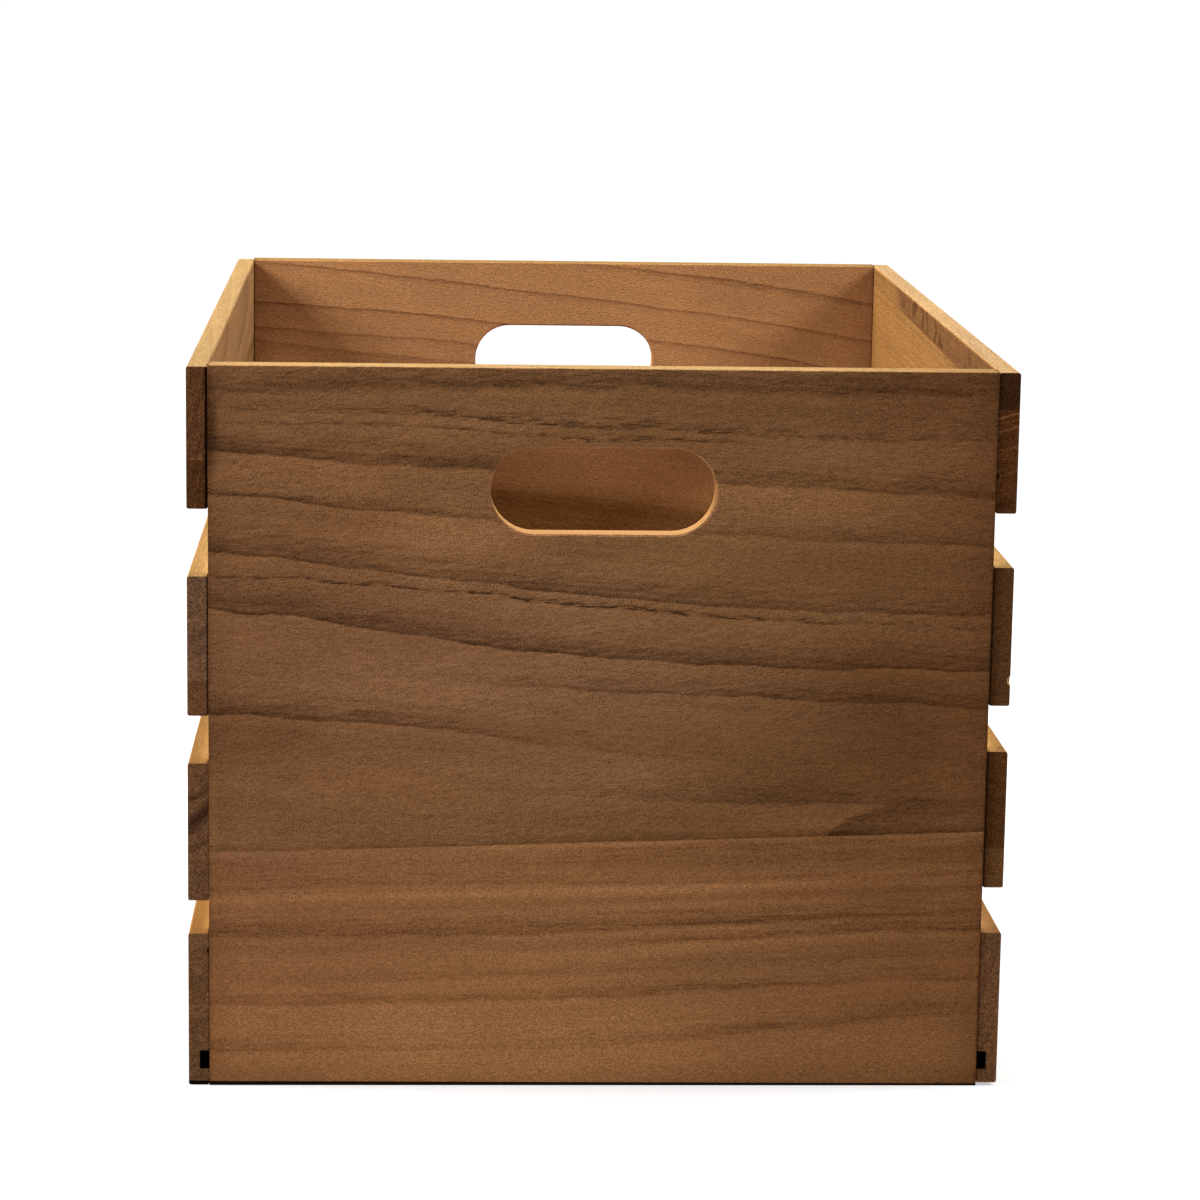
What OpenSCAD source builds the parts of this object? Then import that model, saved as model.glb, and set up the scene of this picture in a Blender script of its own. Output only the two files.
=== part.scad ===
// Open-slatted wooden crate for long-playing records.
// Two solid end panels, each edge-glued from two boards, carry four slats on each long side.
// A floor panel sits in grooves near the bottom, and brads hold the slats to the end panels.
// Millimetres, +Z up. The origin is on the ground under the middle of the crate.
// The front end panel faces -Y, the slats run along Y, and left means -X.

/* [Crate] */
// Width of an end panel, which is the clear width between the slats
inner_w = 335; // [322:1:420]
// Height of the end panels
crate_h = 315; // [300:1:400]
// Length from the front face to the back face
crate_l = 470; // [250:1:700]

/* [End panels] */
// Thickness of the end boards
end_t = 12; // [9:0.5:20]
// Rounding of the end boards' arrises
end_arris = 0.5; // [0.2:0.1:1.5]
// Height of the front panel's glue seam at its left side
front_seam_left = 104; // [90:0.5:160]
// Height of the front panel's glue seam at its right side
front_seam_right = 114.5; // [90:0.5:160]
// Height of the back panel's glue seam at its left side
back_seam_left = 121; // [90:0.5:160]
// Height of the back panel's glue seam at its right side
back_seam_right = 117; // [90:0.5:160]

/* [Hand holes] */
// Width of a hand hole, end to end of its round ends
hole_w = 96; // [70:1:140]
// Height of a hand hole
hole_h = 37; // [25:0.5:50]
// Wood between a hand hole and the top edge of its panel
hole_top_margin = 34; // [20:0.5:60]
// Bevel sanded on the hand hole's two edges
hole_ease = 0.8; // [0.3:0.1:1.5]

/* [Side slats] */
// Thickness of every slat
slat_t = 9; // [7:0.5:15]
// Height of the upper three slats on a side
slat_h = 60.5; // [45:0.5:66]
// Height of the bottom slat, which carries the floor's groove
bottom_slat_h = 68; // [50:0.5:80]
// Rounding of the slats' long edges
slat_round = 1; // [0.4:0.1:2.5]
// How far the slat ends stay behind the outer faces of the end panels
slat_end_inset = 0.5; // [0.2:0.1:3]
// How far the left top slat sits below its even place
left_top_drop = 0.8; // [0.1:0.1:3]
// How far the left second slat sits below its even place
left_second_drop = 8; // [0.1:0.1:9]
// How far the left third slat sits below its even place
left_third_drop = 7; // [0.1:0.1:9]
// How far the left bottom slat stays off the ground
left_bottom_rise = 0.2; // [0.1:0.1:2]
// How far the right top slat sits below its even place
right_top_drop = 0.2; // [0.1:0.1:3]
// How far the right second slat sits below its even place
right_second_drop = 1.8; // [0.1:0.1:9]
// How far the right third slat sits below its even place
right_third_drop = 0.2; // [0.1:0.1:9]
// How far the right bottom slat stays off the ground
right_bottom_rise = 1.4; // [0.1:0.1:2]

/* [Chipped edge of the right second slat] */
// Height of the chip above the slat's lower edge
chip_up = 11; // [6:0.5:30]
// Height of the chip itself
chip_h = 4.5; // [2:0.5:6]
// Depth of the chip into the slat's outer face
chip_depth = 1.5; // [0.5:0.1:2]

/* [Floor] */
// Thickness of the floor panel
floor_t = 7.6; // [5:0.1:10]
// Play above the floor panel in its grooves
floor_play = 0.4; // [0.1:0.1:1]
// Height of the lip of wood under the grooves
floor_lip = 7.5; // [5:0.5:15]
// Depth of the grooves into the slats and end boards
groove_depth = 4; // [2:0.5:5.5]
// Room between the floor's edges and the bottoms of the grooves
floor_edge_gap = 0.5; // [0.2:0.1:1]

/* [Brads] */
// Diameter of a brad's shank
brad_d = 1.2; // [0.9:0.1:2]
// Length of a brad, head included
brad_len = 30; // [22:1:40]
// Length of a brad's point
brad_point = 1.8; // [1:0.1:3]
// Diameter of a brad's head
brad_head_d = 2.2; // [2.1:0.1:3.5]
// Thickness of a brad's head
brad_head_t = 0.6; // [0.4:0.1:1]
// How deep the heads are set below the slat's face
brad_set = 0.5; // [0.2:0.1:1.5]
// Radial room around a brad in its hole
brad_clear = 0.05; // [0.02:0.01:0.1]
// Room beyond a brad's point in its hole
brad_point_gap = 0.3; // [0.1:0.1:1]
// Distance from a slat's long edge, or from the groove, to the brads
brad_edge = 13; // [8:0.5:20]

/* [Hidden] */

$fn = 48;
LEFT = 0;
RIGHT = 1;
TOP = 0;
SECOND = 1;
THIRD = 2;
BOTTOM = 3;

// How far cuts run past the faces they open
cut_over = 1;

// Clear height of the grooves, and the height of their upper side above the ground
groove_h = floor_t + floor_play;
groove_top = floor_lip + groove_h;

// Even gap between two slats, before each slat's own drop
slat_gap = (crate_h - 3 * slat_h - bottom_slat_h) / 3;
slat_l = crate_l - 2 * slat_end_inset;
drops = [
    [left_top_drop, left_second_drop, left_third_drop],
    [right_top_drop, right_second_drop, right_third_drop]
];
rises = [left_bottom_rise, right_bottom_rise];

hole_r = hole_h / 2;
hole_z = crate_h - hole_top_margin - hole_r;
hole_straight = hole_w - hole_h;

// Radius of the scoop that leaves a chip of the given height and depth
chip_r = (pow(chip_h / 2, 2) + pow(chip_depth, 2)) / (2 * chip_depth);

// Lower edge and height of one slat
function slat_z(side, row) = row == BOTTOM
    ? rises[side]
    : crate_h - (row + 1) * slat_h - row * slat_gap - drops[side][row];
function slat_height(row) = row == BOTTOM ? bottom_slat_h : slat_h;

// The two heights of a slat's brads: the bottom slat's lower ones stay above the groove
function brad_heights(side, row) = [
    row == BOTTOM ? groove_top + brad_edge : slat_z(side, row) + brad_edge,
    slat_z(side, row) + slat_height(row) - brad_edge
];

// Rectangle with rounded corners, from circles and squares, centred
module rounded_rectangle(w, h, r) {
    square([w - 2 * r, h], center = true);
    square([w, h - 2 * r], center = true);
    for (x = [-1, 1], y = [-1, 1])
        translate([x * (w / 2 - r), y * (h / 2 - r)])
            circle(r);
}

// Slot with full-round ends, centred
module round_ended_slot(w, h) {
    square([w - h, h], center = true);
    for (x = [-1, 1])
        translate([x * (w - h) / 2, 0])
            circle(d = h);
}

// Whole end panel at the front, with every arris rounded
module panel_blank() {
    y_mid = -crate_l / 2 + end_t / 2;
    intersection() {
        translate([0, y_mid, 0])
            linear_extrude(crate_h)
                rounded_rectangle(inner_w, end_t, end_arris);
        translate([-inner_w / 2, y_mid, crate_h / 2])
            rotate([90, 0, 90])
                linear_extrude(inner_w)
                    rounded_rectangle(end_t, crate_h, end_arris);
    }
}

// Everything above or below a panel's glue seam, as a slab around the front panel
module seam_side(z_left, z_right, upper) {
    reach = inner_w / 2 + cut_over;
    slope = (z_right - z_left) / inner_w;
    z_mid = (z_left + z_right) / 2;
    z_far = upper ? crate_h + cut_over : -cut_over;
    translate([0, -crate_l / 2 + end_t + cut_over, 0])
        rotate([90, 0, 0])
            linear_extrude(end_t + 2 * cut_over)
                polygon([
                    [-reach, z_mid - slope * reach],
                    [reach, z_mid + slope * reach],
                    [reach, z_far],
                    [-reach, z_far]
                ]);
}

// Flare that bevels the hand hole's edge at the front face
module hole_bevel() {
    deep = hole_ease + cut_over;
    wide = hole_r + deep;
    translate([0, -crate_l / 2 - cut_over, hole_z]) {
        for (x = [-1, 1])
            translate([x * hole_straight / 2, 0, 0])
                rotate([-90, 0, 0])
                    cylinder(h = deep, r1 = wide, r2 = hole_r);
        translate([-hole_straight / 2, 0, 0])
            rotate([90, 0, 90])
                linear_extrude(hole_straight)
                    polygon([[0, -wide], [deep, -hole_r], [deep, hole_r], [0, wide]]);
    }
}

// Hand hole through the front panel, round at both ends
module hand_hole() {
    y_mid = -crate_l / 2 + end_t / 2;
    translate([0, y_mid + end_t / 2 + cut_over, hole_z])
        rotate([90, 0, 0])
            linear_extrude(end_t + 2 * cut_over)
                round_ended_slot(hole_w, hole_h);
    hole_bevel();
    translate([0, 2 * y_mid, 0])
        mirror([0, 1, 0])
            hole_bevel();
}

// Groove across the inner face of the front panel
module panel_groove() {
    translate([-inner_w / 2 - cut_over, -crate_l / 2 + end_t - groove_depth, floor_lip])
        cube([inner_w + 2 * cut_over, groove_depth + cut_over, groove_h]);
}

// One brad with its head at the origin's left, pointing along +X
module brad() {
    rotate([0, 90, 0]) {
        cylinder(h = brad_head_t, d = brad_head_d);
        cylinder(h = brad_len - brad_point, d = brad_d);
        translate([0, 0, brad_len - brad_point])
            cylinder(h = brad_point, d1 = brad_d, d2 = brad_d / 4);
    }
}

// Hole for one brad, open at the slat's outer face, pointing along +X
module brad_hole() {
    rotate([0, 90, 0]) {
        cylinder(h = brad_len + brad_point_gap, d = brad_d + 2 * brad_clear);
        translate([0, 0, -brad_set - cut_over])
            cylinder(h = brad_set + cut_over + brad_head_t, d = brad_head_d + 2 * brad_clear);
    }
}

// Repeats its children at each of one slat's brads
module at_brads(side, row, ends = [-1, 1]) {
    x_head = inner_w / 2 + slat_t - brad_set;
    for (end = ends, z = brad_heights(side, row))
        mirror([side == RIGHT ? 1 : 0, 0, 0])
            translate([-x_head, end * (crate_l - end_t) / 2, z])
                children();
}

// One board of an end panel, drawn at the front
module end_board(z_left, z_right, upper) {
    difference() {
        intersection() {
            panel_blank();
            seam_side(z_left, z_right, upper);
        }
        if (upper)
            hand_hole();
        else
            panel_groove();
        for (side = [LEFT, RIGHT], row = [TOP, SECOND, THIRD, BOTTOM])
            at_brads(side, row, [-1])
                brad_hole();
    }
}

// Scoop out of the slat's outer front arris
module edge_chip() {
    translate([
        inner_w / 2 + slat_t - chip_depth + chip_r,
        -slat_l / 2,
        slat_z(RIGHT, SECOND) + chip_up
    ])
        sphere(chip_r);
}

// Groove along the inner face of a bottom slat, open at both ends
module slat_groove(side) {
    mirror([side == LEFT ? 1 : 0, 0, 0])
        translate([inner_w / 2 - cut_over, -slat_l / 2 - cut_over, floor_lip])
            cube([groove_depth + cut_over, slat_l + 2 * cut_over, groove_h]);
}

// One slat with its brad holes, and a groove in the bottom one
module slat(side, row) {
    x_mid = (side == RIGHT ? 1 : -1) * (inner_w + slat_t) / 2;
    difference() {
        translate([x_mid, slat_l / 2, slat_z(side, row) + slat_height(row) / 2])
            rotate([90, 0, 0])
                linear_extrude(slat_l)
                    rounded_rectangle(slat_t, slat_height(row), slat_round);
        at_brads(side, row)
            brad_hole();
        if (row == BOTTOM)
            slat_groove(side);
        if (side == RIGHT && row == SECOND)
            edge_chip();
    }
}

// The four brads of one slat
module slat_brads(side, row) {
    color("silver")
        at_brads(side, row)
            brad();
}

// Upper board of the front panel, with the hand hole
module front_upper_board() {
    color([0.45, 0.31, 0.20])
        end_board(front_seam_left, front_seam_right, true);
}

// Lower board of the front panel, with the floor's groove
module front_lower_board() {
    color([0.53, 0.36, 0.23])
        end_board(front_seam_left, front_seam_right, false);
}

// Upper board of the back panel
module back_upper_board() {
    color([0.64, 0.43, 0.27])
        mirror([0, 1, 0])
            end_board(back_seam_left, back_seam_right, true);
}

// Lower board of the back panel
module back_lower_board() {
    color([0.60, 0.42, 0.28])
        mirror([0, 1, 0])
            end_board(back_seam_left, back_seam_right, false);
}

module left_top_slat() {
    color([0.60, 0.43, 0.28])
        slat(LEFT, TOP);
}

module left_second_slat() {
    color([0.57, 0.41, 0.27])
        slat(LEFT, SECOND);
}

module left_third_slat() {
    color([0.62, 0.44, 0.28])
        slat(LEFT, THIRD);
}

module left_bottom_slat() {
    color([0.58, 0.41, 0.26])
        slat(LEFT, BOTTOM);
}

module right_top_slat() {
    color([0.66, 0.47, 0.27])
        slat(RIGHT, TOP);
}

module right_second_slat() {
    color([0.61, 0.42, 0.25])
        slat(RIGHT, SECOND);
}

module right_third_slat() {
    color([0.63, 0.45, 0.29])
        slat(RIGHT, THIRD);
}

module right_bottom_slat() {
    color([0.60, 0.41, 0.26])
        slat(RIGHT, BOTTOM);
}

// Floor panel: it lies on the grooves' lower sides and reaches into all four grooves
module floor_panel() {
    tongue = groove_depth - floor_edge_gap;
    w = inner_w + 2 * tongue;
    l = crate_l - 2 * end_t + 2 * tongue;
    color([0.70, 0.52, 0.34])
        translate([-w / 2, -l / 2, floor_lip])
            cube([w, l, floor_t]);
}

module left_top_brads() {
    slat_brads(LEFT, TOP);
}

module left_second_brads() {
    slat_brads(LEFT, SECOND);
}

module left_third_brads() {
    slat_brads(LEFT, THIRD);
}

module left_bottom_brads() {
    slat_brads(LEFT, BOTTOM);
}

module right_top_brads() {
    slat_brads(RIGHT, TOP);
}

module right_second_brads() {
    slat_brads(RIGHT, SECOND);
}

module right_third_brads() {
    slat_brads(RIGHT, THIRD);
}

module right_bottom_brads() {
    slat_brads(RIGHT, BOTTOM);
}

front_upper_board();
front_lower_board();
back_upper_board();
back_lower_board();
left_top_slat();
left_second_slat();
left_third_slat();
left_bottom_slat();
right_top_slat();
right_second_slat();
right_third_slat();
right_bottom_slat();
floor_panel();
left_top_brads();
left_second_brads();
left_third_brads();
left_bottom_brads();
right_top_brads();
right_second_brads();
right_third_brads();
right_bottom_brads();
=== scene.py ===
# %% [markdown]
# # A slatted wooden crate for records
#
# The crate is all flat boards: two end panels, four slats on each side, a floor and some
# brads. Every board already has its true shape, with rounded arrises, grooves and nail
# holes, so nothing has to be modelled again. What is left is the part that the eye
# notices first: the wood.
#
# One could wrap each board in a photograph of wood, but a picture stretches over the
# edges and gives a board no inside. Here each board is "sawn" from a solid block of
# wood instead: a pattern that has a value at every point in space. Cut it lengthwise and
# it shows long grain, cut it across and it shows rings, so faces, edges and ends agree.

# %% Load the boards
import math

import bpy
from mathutils import Matrix, Vector


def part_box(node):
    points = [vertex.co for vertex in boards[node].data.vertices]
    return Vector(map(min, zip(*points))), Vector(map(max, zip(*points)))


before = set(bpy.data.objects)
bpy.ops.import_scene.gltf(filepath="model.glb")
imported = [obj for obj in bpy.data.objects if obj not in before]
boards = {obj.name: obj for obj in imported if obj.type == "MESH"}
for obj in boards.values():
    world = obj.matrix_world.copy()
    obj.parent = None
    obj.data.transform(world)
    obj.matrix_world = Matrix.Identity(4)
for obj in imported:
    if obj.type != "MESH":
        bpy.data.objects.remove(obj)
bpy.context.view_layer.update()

# %% [markdown]
# ## The camera
#
# The crate is seen through a long lens from a little above its rim: the sides hardly
# spread, and the back panel shows over the front one. The camera could be placed by eye,
# but a few pixels of error would show along every slat. So it was worked out from the
# crate's own corners: its place, its three angles and the focal length are the ones that
# put those corners where the picture has them.

# %% Camera
FRAME_WIDTH_PX = 1200
FOCAL_LENGTH_PX = 3817
SENSOR_MM = 36.0
CAMERA_PLACE = Vector((-0.0795, -1.8333, 0.5144))
TURN_RIGHT, LOOK_DOWN, TILT_LEFT = (math.radians(a) for a in (2.815, 10.571, 0.899))

camera = bpy.data.objects.new("camera", bpy.data.cameras.new("camera"))
camera.data.sensor_width = SENSOR_MM
camera.data.lens = FOCAL_LENGTH_PX / FRAME_WIDTH_PX * SENSOR_MM
camera.matrix_world = (
    Matrix.Translation(CAMERA_PLACE)
    @ Matrix.Rotation(-TURN_RIGHT, 4, "Z")
    @ Matrix.Rotation(math.pi / 2 - LOOK_DOWN, 4, "X")
    @ Matrix.Rotation(TILT_LEFT, 4, "Z")
)
bpy.context.scene.collection.objects.link(camera)
bpy.context.scene.camera = camera
bpy.context.scene.view_settings.view_transform = "Standard"
print("lens", round(camera.data.lens, 1), "mm")

# %% [markdown]
# ## Short words for nodes
#
# A wood material is a long chain of small sums. Written out in full, each sum takes three
# lines of wiring, and the idea drowns in them. This small class gives every kind of node
# one short word that adds the node, plugs its inputs in and hands back its output, so the
# recipes below read like arithmetic.


# %% A shorthand for wiring materials
class Nodes:
    """Adds nodes to one material. An input may be a number, a tuple or another node's output."""

    def __init__(self, material):
        self.tree = material.node_tree

    def add(self, kind, **settings):
        node = self.tree.nodes.new(kind)
        for setting, value in settings.items():
            setattr(node, setting, value)
        return node

    def feed(self, socket, value):
        if isinstance(value, bpy.types.NodeSocket):
            self.tree.links.new(value, socket)
        else:
            socket.default_value = value

    def math(self, operation, *values):
        node = self.add("ShaderNodeMath", operation=operation)
        for socket, value in zip(node.inputs, values):
            self.feed(socket, value)
        return node.outputs[0]

    def plus(self, a, b):
        return self.math("ADD", a, b)

    def minus(self, a, b):
        return self.math("SUBTRACT", a, b)

    def times(self, a, b):
        return self.math("MULTIPLY", a, b)

    def vector(self, x, y, z):
        node = self.add("ShaderNodeCombineXYZ")
        for socket, value in zip(node.inputs, (x, y, z)):
            self.feed(socket, value)
        return node.outputs[0]

    def split(self, vector):
        node = self.add("ShaderNodeSeparateXYZ")
        self.feed(node.inputs[0], vector)
        return list(node.outputs)

    def length(self, vector):
        node = self.add("ShaderNodeVectorMath", operation="LENGTH")
        self.feed(node.inputs[0], vector)
        return node.outputs["Value"]

    def spread(self, value, low, high, to_low=0.0, to_high=1.0, smooth=True):
        """Carries low..high over to to_low..to_high and holds it there beyond."""
        node = self.add("ShaderNodeMapRange")
        node.interpolation_type = "SMOOTHSTEP" if smooth else "LINEAR"
        for socket, given in zip(node.inputs, (value, low, high, to_low, to_high)):
            self.feed(socket, given)
        return node.outputs[0]

    def noise(self, place, detail=2.0):
        """A smooth random value around 0.5 that changes about once per unit of place."""
        node = self.add("ShaderNodeTexNoise")
        self.feed(node.inputs["Vector"], place)
        node.inputs["Scale"].default_value = 1.0
        node.inputs["Detail"].default_value = detail
        return node.outputs["Fac"]

    def swing(self, place, detail=2.0):
        """The same noise as a swing between -1 and 1."""
        return self.spread(self.noise(place, detail), 0.28, 0.72, -1.0, 1.0, smooth=False)

    def curve(self, share, heights):
        """A smooth line drawn through evenly spaced heights, each between 0 and 1."""
        node = self.add("ShaderNodeFloatCurve")
        points = node.mapping.curves[0].points
        while len(points) < len(heights):
            points.new(0.5, 0.5)
        for i, (point, height) in enumerate(zip(points, heights)):
            point.location = (i / (len(heights) - 1), height)
        node.mapping.update()
        self.feed(node.inputs["Value"], share)
        return node.outputs[0]

    def blend(self, share, under, over, way="MIX"):
        """Colour under turned into colour over by a share of 0 to 1."""
        node = self.add("ShaderNodeMix", data_type="RGBA", blend_type=way)
        self.feed(node.inputs[0], share)
        self.feed(node.inputs[6], under)
        self.feed(node.inputs[7], over)
        return node.outputs[2]

    def tinted(self, share, colour, red, green, blue):
        """The colour multiplied by (red, green, blue) as far as share says."""
        return self.blend(share, colour, (red, green, blue, 1.0), "MULTIPLY")

    def scaled(self, colour, factor):
        """The colour made darker or lighter by a factor worked out at each point."""
        return self.blend(1.0, colour, self.vector(factor, factor, factor), "MULTIPLY")


def shade(red, green, blue):
    """A colour as a painter's 0 to 255 values, turned into the linear light that nodes use."""
    def linear(value):
        value = value / 255
        return value / 12.92 if value <= 0.04045 else ((value + 0.055) / 1.055) ** 2.4
    return (linear(red), linear(green), linear(blue), 1.0)


def new_material(name):
    """An empty material with its surface shader, and the shorthand that wires it."""
    material = bpy.data.materials.new(name)
    material.use_nodes = True
    nodes = Nodes(material)
    surface = next(n for n in nodes.tree.nodes if n.type == "BSDF_PRINCIPLED")
    return material, nodes, surface


# %% [markdown]
# ## The table
#
# The crate stands on plain white. More light would make a table white, but bleach the
# wood as well. So the table is given a little light of its own that only the camera and
# reflections see, and more of it far away, where the lamps don't reach. Close to the
# crate it still darkens.

# %% Table
WHITE = (1.0, 1.0, 1.0, 1.0)
TABLE_GREY = (0.45, 0.45, 0.45, 1.0)
TABLE_REACH_M = 30.0
GLOW_NEAR, GLOW_FAR = 0.50, 1.0
GLOW_RISES_FROM_M, GLOW_RISES_TO_M = 0.6, 2.5


def seen_directly(nodes):
    """1 for what is seen straight, in a reflection or through glass, 0 for light on the crate."""
    ray = nodes.add("ShaderNodeLightPath").outputs
    mirrored = nodes.math("MAXIMUM", ray["Is Glossy Ray"], ray["Is Transmission Ray"])
    return nodes.math("MAXIMUM", ray["Is Camera Ray"], mirrored)


bpy.ops.mesh.primitive_plane_add(size=2 * TABLE_REACH_M)
table = bpy.context.object
table.name = "table"
table_finish, nodes, surface = new_material("white_table")
surface.inputs["Base Color"].default_value = TABLE_GREY
surface.inputs["Roughness"].default_value = 0.9
surface.inputs["Specular IOR Level"].default_value = 0.0
surface.inputs["Emission Color"].default_value = WHITE
distance = nodes.length(nodes.add("ShaderNodeTexCoord").outputs["Object"])
glow = nodes.spread(distance, GLOW_RISES_FROM_M, GLOW_RISES_TO_M, GLOW_NEAR, GLOW_FAR)
nodes.feed(surface.inputs["Emission Strength"], nodes.times(seen_directly(nodes), glow))
table.data.materials.append(table_finish)
print("table", [round(side, 1) for side in table.dimensions], "metres")

# %% [markdown]
# ## The room's own light
#
# The room behind the table is as white as the table, but light that strong on the crate
# would wash out every shadow. So the same trick is used as for the table: white for the
# camera, and only a few hundredths of that for the wood.

# %% World light
WORLD_STRENGTH = 0.06

world = bpy.data.worlds.new("studio")
bpy.context.scene.world = world
world.use_nodes = True
sky = Nodes(world)
background = next(n for n in sky.tree.nodes if n.type == "BACKGROUND")
background.inputs["Color"].default_value = WHITE
strength = sky.spread(seen_directly(sky), 0, 1, WORLD_STRENGTH, 1.0, smooth=False)
sky.feed(background.inputs["Strength"], strength)
print("room light on the crate", WORLD_STRENGTH)

# %% [markdown]
# ## The lamps
#
# Two soft boxes stand left and right, level with the front panel: they only graze the
# front, which stays in soft shade, but they reach the back panel's inner face over the
# rim at a slant and leave a soft dark wedge in each back corner. A third one hangs high
# over the back and makes every edge that faces up glow, and a weak one at the front left
# evens out the front.


# %% Lamps
def soft_box(name, place, aim, size, watts):
    """A square studio lamp at place, shining at aim. The camera doesn't see the lamp itself."""
    lamp = bpy.data.objects.new(name, bpy.data.lights.new(name, "AREA"))
    lamp.data.size = size
    lamp.data.energy = watts
    lamp.location = place
    lamp.rotation_euler = (Vector(aim) - Vector(place)).to_track_quat("-Z", "Y").to_euler()
    lamp.visible_camera = False
    bpy.context.scene.collection.objects.link(lamp)


INSIDE = (0.0, 0.0, 0.20)
RIM = (0.0, 0.0, 0.30)
soft_box("left_light", (-1.05, -0.20, 0.95), INSIDE, 0.35, 23.0)
soft_box("right_light", (1.05, -0.20, 0.95), INSIDE, 0.35, 18.0)
soft_box("top_light", (0.0, 0.62, 1.45), RIM, 0.5, 36.0)
soft_box("front_fill", (-1.20, -0.60, 0.70), INSIDE, 0.5, 6.0)

# %% [markdown]
# ## Where a point lies in its board
#
# Grain runs along a board, so every board needs its own three directions: along the
# grain, across the face and through the thickness. The end panels' grain runs from side
# to side of the crate, and the slats' grain from front to back. The boards' coordinates
# are in metres in one shared frame, so it is enough to read them in the right order.
# Each board also starts somewhere else in the endless block of wood, or neighbours would
# look like copies.

# %% Board directions
AXES = {"X": 0, "Y": 1, "Z": 2}
BLOCK_STEP = Vector((3.17, 1.73, 2.39))


def crate_place(nodes):
    """The point's place in the crate in metres: to the right, to the back and up."""
    return nodes.split(nodes.add("ShaderNodeTexCoord").outputs["Object"])


def board_place(nodes, order):
    """The same place as (along, across, through) in a board, for an order such as "YZX"."""
    place = crate_place(nodes)
    return [place[AXES[axis]] for axis in order]


def from_block(nodes, place, per_metre, seed):
    """The place in pattern steps, so many per metre each way, moved to a board's own spot."""
    moved = []
    for value, scale, step in zip(place, per_metre, BLOCK_STEP):
        moved.append(nodes.math("MULTIPLY_ADD", value, scale, seed * step))
    return nodes.vector(*moved)


# %% [markdown]
# ## Fibres, streaks and clouds
#
# Between its rings, wood is a bundle of fibres. On a sanded board they read as a fine
# grit, as short flecks, as tufts of hair where the fibres dive out of the surface, as
# long faint streaks beside the rings, and as broad soft clouds of tone. Each of these is
# noise at its own size and its own stretch. Flecks and hairs follow the fibres, and
# these needn't run quite the same way as the rings.


# %% Grain patterns
def grain_patterns(nodes, place, seed, climb, hair_climb):
    """Grit, flecks, hairs, streaks, clouds and mottle, -1 to 1. A climb is metres per metre."""
    along, across, through = place
    lie = (along, nodes.minus(across, nodes.times(along, climb)), through)
    fibre = (along, nodes.minus(across, nodes.times(along, hair_climb)), through)
    return {
        "grit": nodes.swing(from_block(nodes, place, (1700, 1900, 1900), seed), 0.0),
        "fleck": nodes.swing(from_block(nodes, fibre, (380, 1700, 1700), seed + 0.31), 1.0),
        "hair": nodes.swing(from_block(nodes, fibre, (75, 720, 720), seed + 1.37), 2.0),
        "streak": nodes.swing(from_block(nodes, lie, (16, 560, 560), seed + 0.57), 2.0),
        "cloud": nodes.swing(from_block(nodes, lie, (7, 40, 40), seed + 0.83), 2.0),
        "mottle": nodes.swing(from_block(nodes, fibre, (30, 80, 80), seed + 1.13), 1.0),
    }


# %% [markdown]
# ## Growth rings round a pith
#
# A tree adds pale, open wood in spring and ever denser, darker wood towards autumn, and
# then starts again at once. So a ring darkens slowly and ends in a sharp step.
#
# For the slats and the floor nobody looks at one certain line, so the rings are circles
# round a pith somewhere outside the board, bent a little by noise. The pith isn't quite
# parallel to the board, which is what draws long arches on a flat-sawn face.

# %% Rings round a pith
WOBBLE_SHARE = 0.16
RING_UNEVENNESS = 0.9
SPRING_STARTS = 0.93


def rings_round_pith(pith, ring_width, lean=0.0, tilt=0.0, wander=0.010, bite=2.2):
    """A recipe for how autumn-dark a point is: its distance from the pith, in ring widths."""
    def rings(nodes, place, grain, seed):
        along, across, through = place
        bend = nodes.noise(from_block(nodes, place, (3, 16, 16), seed + 2.1), 2.0)
        wobble = nodes.noise(from_block(nodes, place, (12, 110, 110), seed + 2.7), 2.0)
        side = nodes.plus(nodes.plus(across, -pith[0]), nodes.times(along, lean))
        depth = nodes.plus(nodes.plus(through, -pith[1]), nodes.times(along, tilt))
        radius = nodes.math("SQRT", nodes.plus(nodes.times(side, side), nodes.times(depth, depth)))
        radius = nodes.math("MULTIPLY_ADD", nodes.minus(bend, 0.5), wander, radius)
        wobble = nodes.minus(wobble, 0.5)
        radius = nodes.math("MULTIPLY_ADD", wobble, wander * WOBBLE_SHARE, radius)
        ring = nodes.times(radius, 1.0 / ring_width)
        uneven = nodes.noise(nodes.vector(ring, seed * 5.1, 0.0), 1.0)
        ring = nodes.math("MULTIPLY_ADD", uneven, RING_UNEVENNESS, ring)
        season = nodes.math("FRACT", ring)
        dark = nodes.math("POWER", season, bite)
        new_spring = nodes.spread(season, SPRING_STARTS, 1.0, 1.0, 0.0)
        year = nodes.noise(nodes.vector(nodes.math("FLOOR", ring), seed * 3.3, 4.0), 0.0)
        strength = nodes.spread(year, 0.3, 0.7, 0.35, 1.0)
        return nodes.times(nodes.times(dark, new_spring), strength)

    return rings


# %% [markdown]
# ## Growth rings drawn as lines
#
# On the end panels the ring lines are what gives the board its face, so each is drawn:
# its height in millimetres at evenly spaced places from the left side of the panel
# to the right, and how dark it is along the way. The autumn wood lies on one side of the
# line and fades over a band. Some lines are torn into dashes, where the plane lifted the
# fibres.

# %% Lines on an end panel
PANEL_HEIGHT = 0.315
PANEL_HALF_WIDTH = 0.1675
SPRING_TONE = 0.14
SPRING_PALENESS = 0.12
SPRING_REACH, SPRING_EDGE = 0.006, 0.0004
RIM_REACH = 0.0020
TEAR_REACH = 0.0006
RAGGED_BAND = 0.012
RIPPLE_REACH = 0.00025


def share_of_width(nodes, place):
    """0 at the panel's left side, 1 at its right."""
    return nodes.math("MULTIPLY_ADD", place[0], 0.5 / PANEL_HALF_WIDTH, 0.5)


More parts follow.
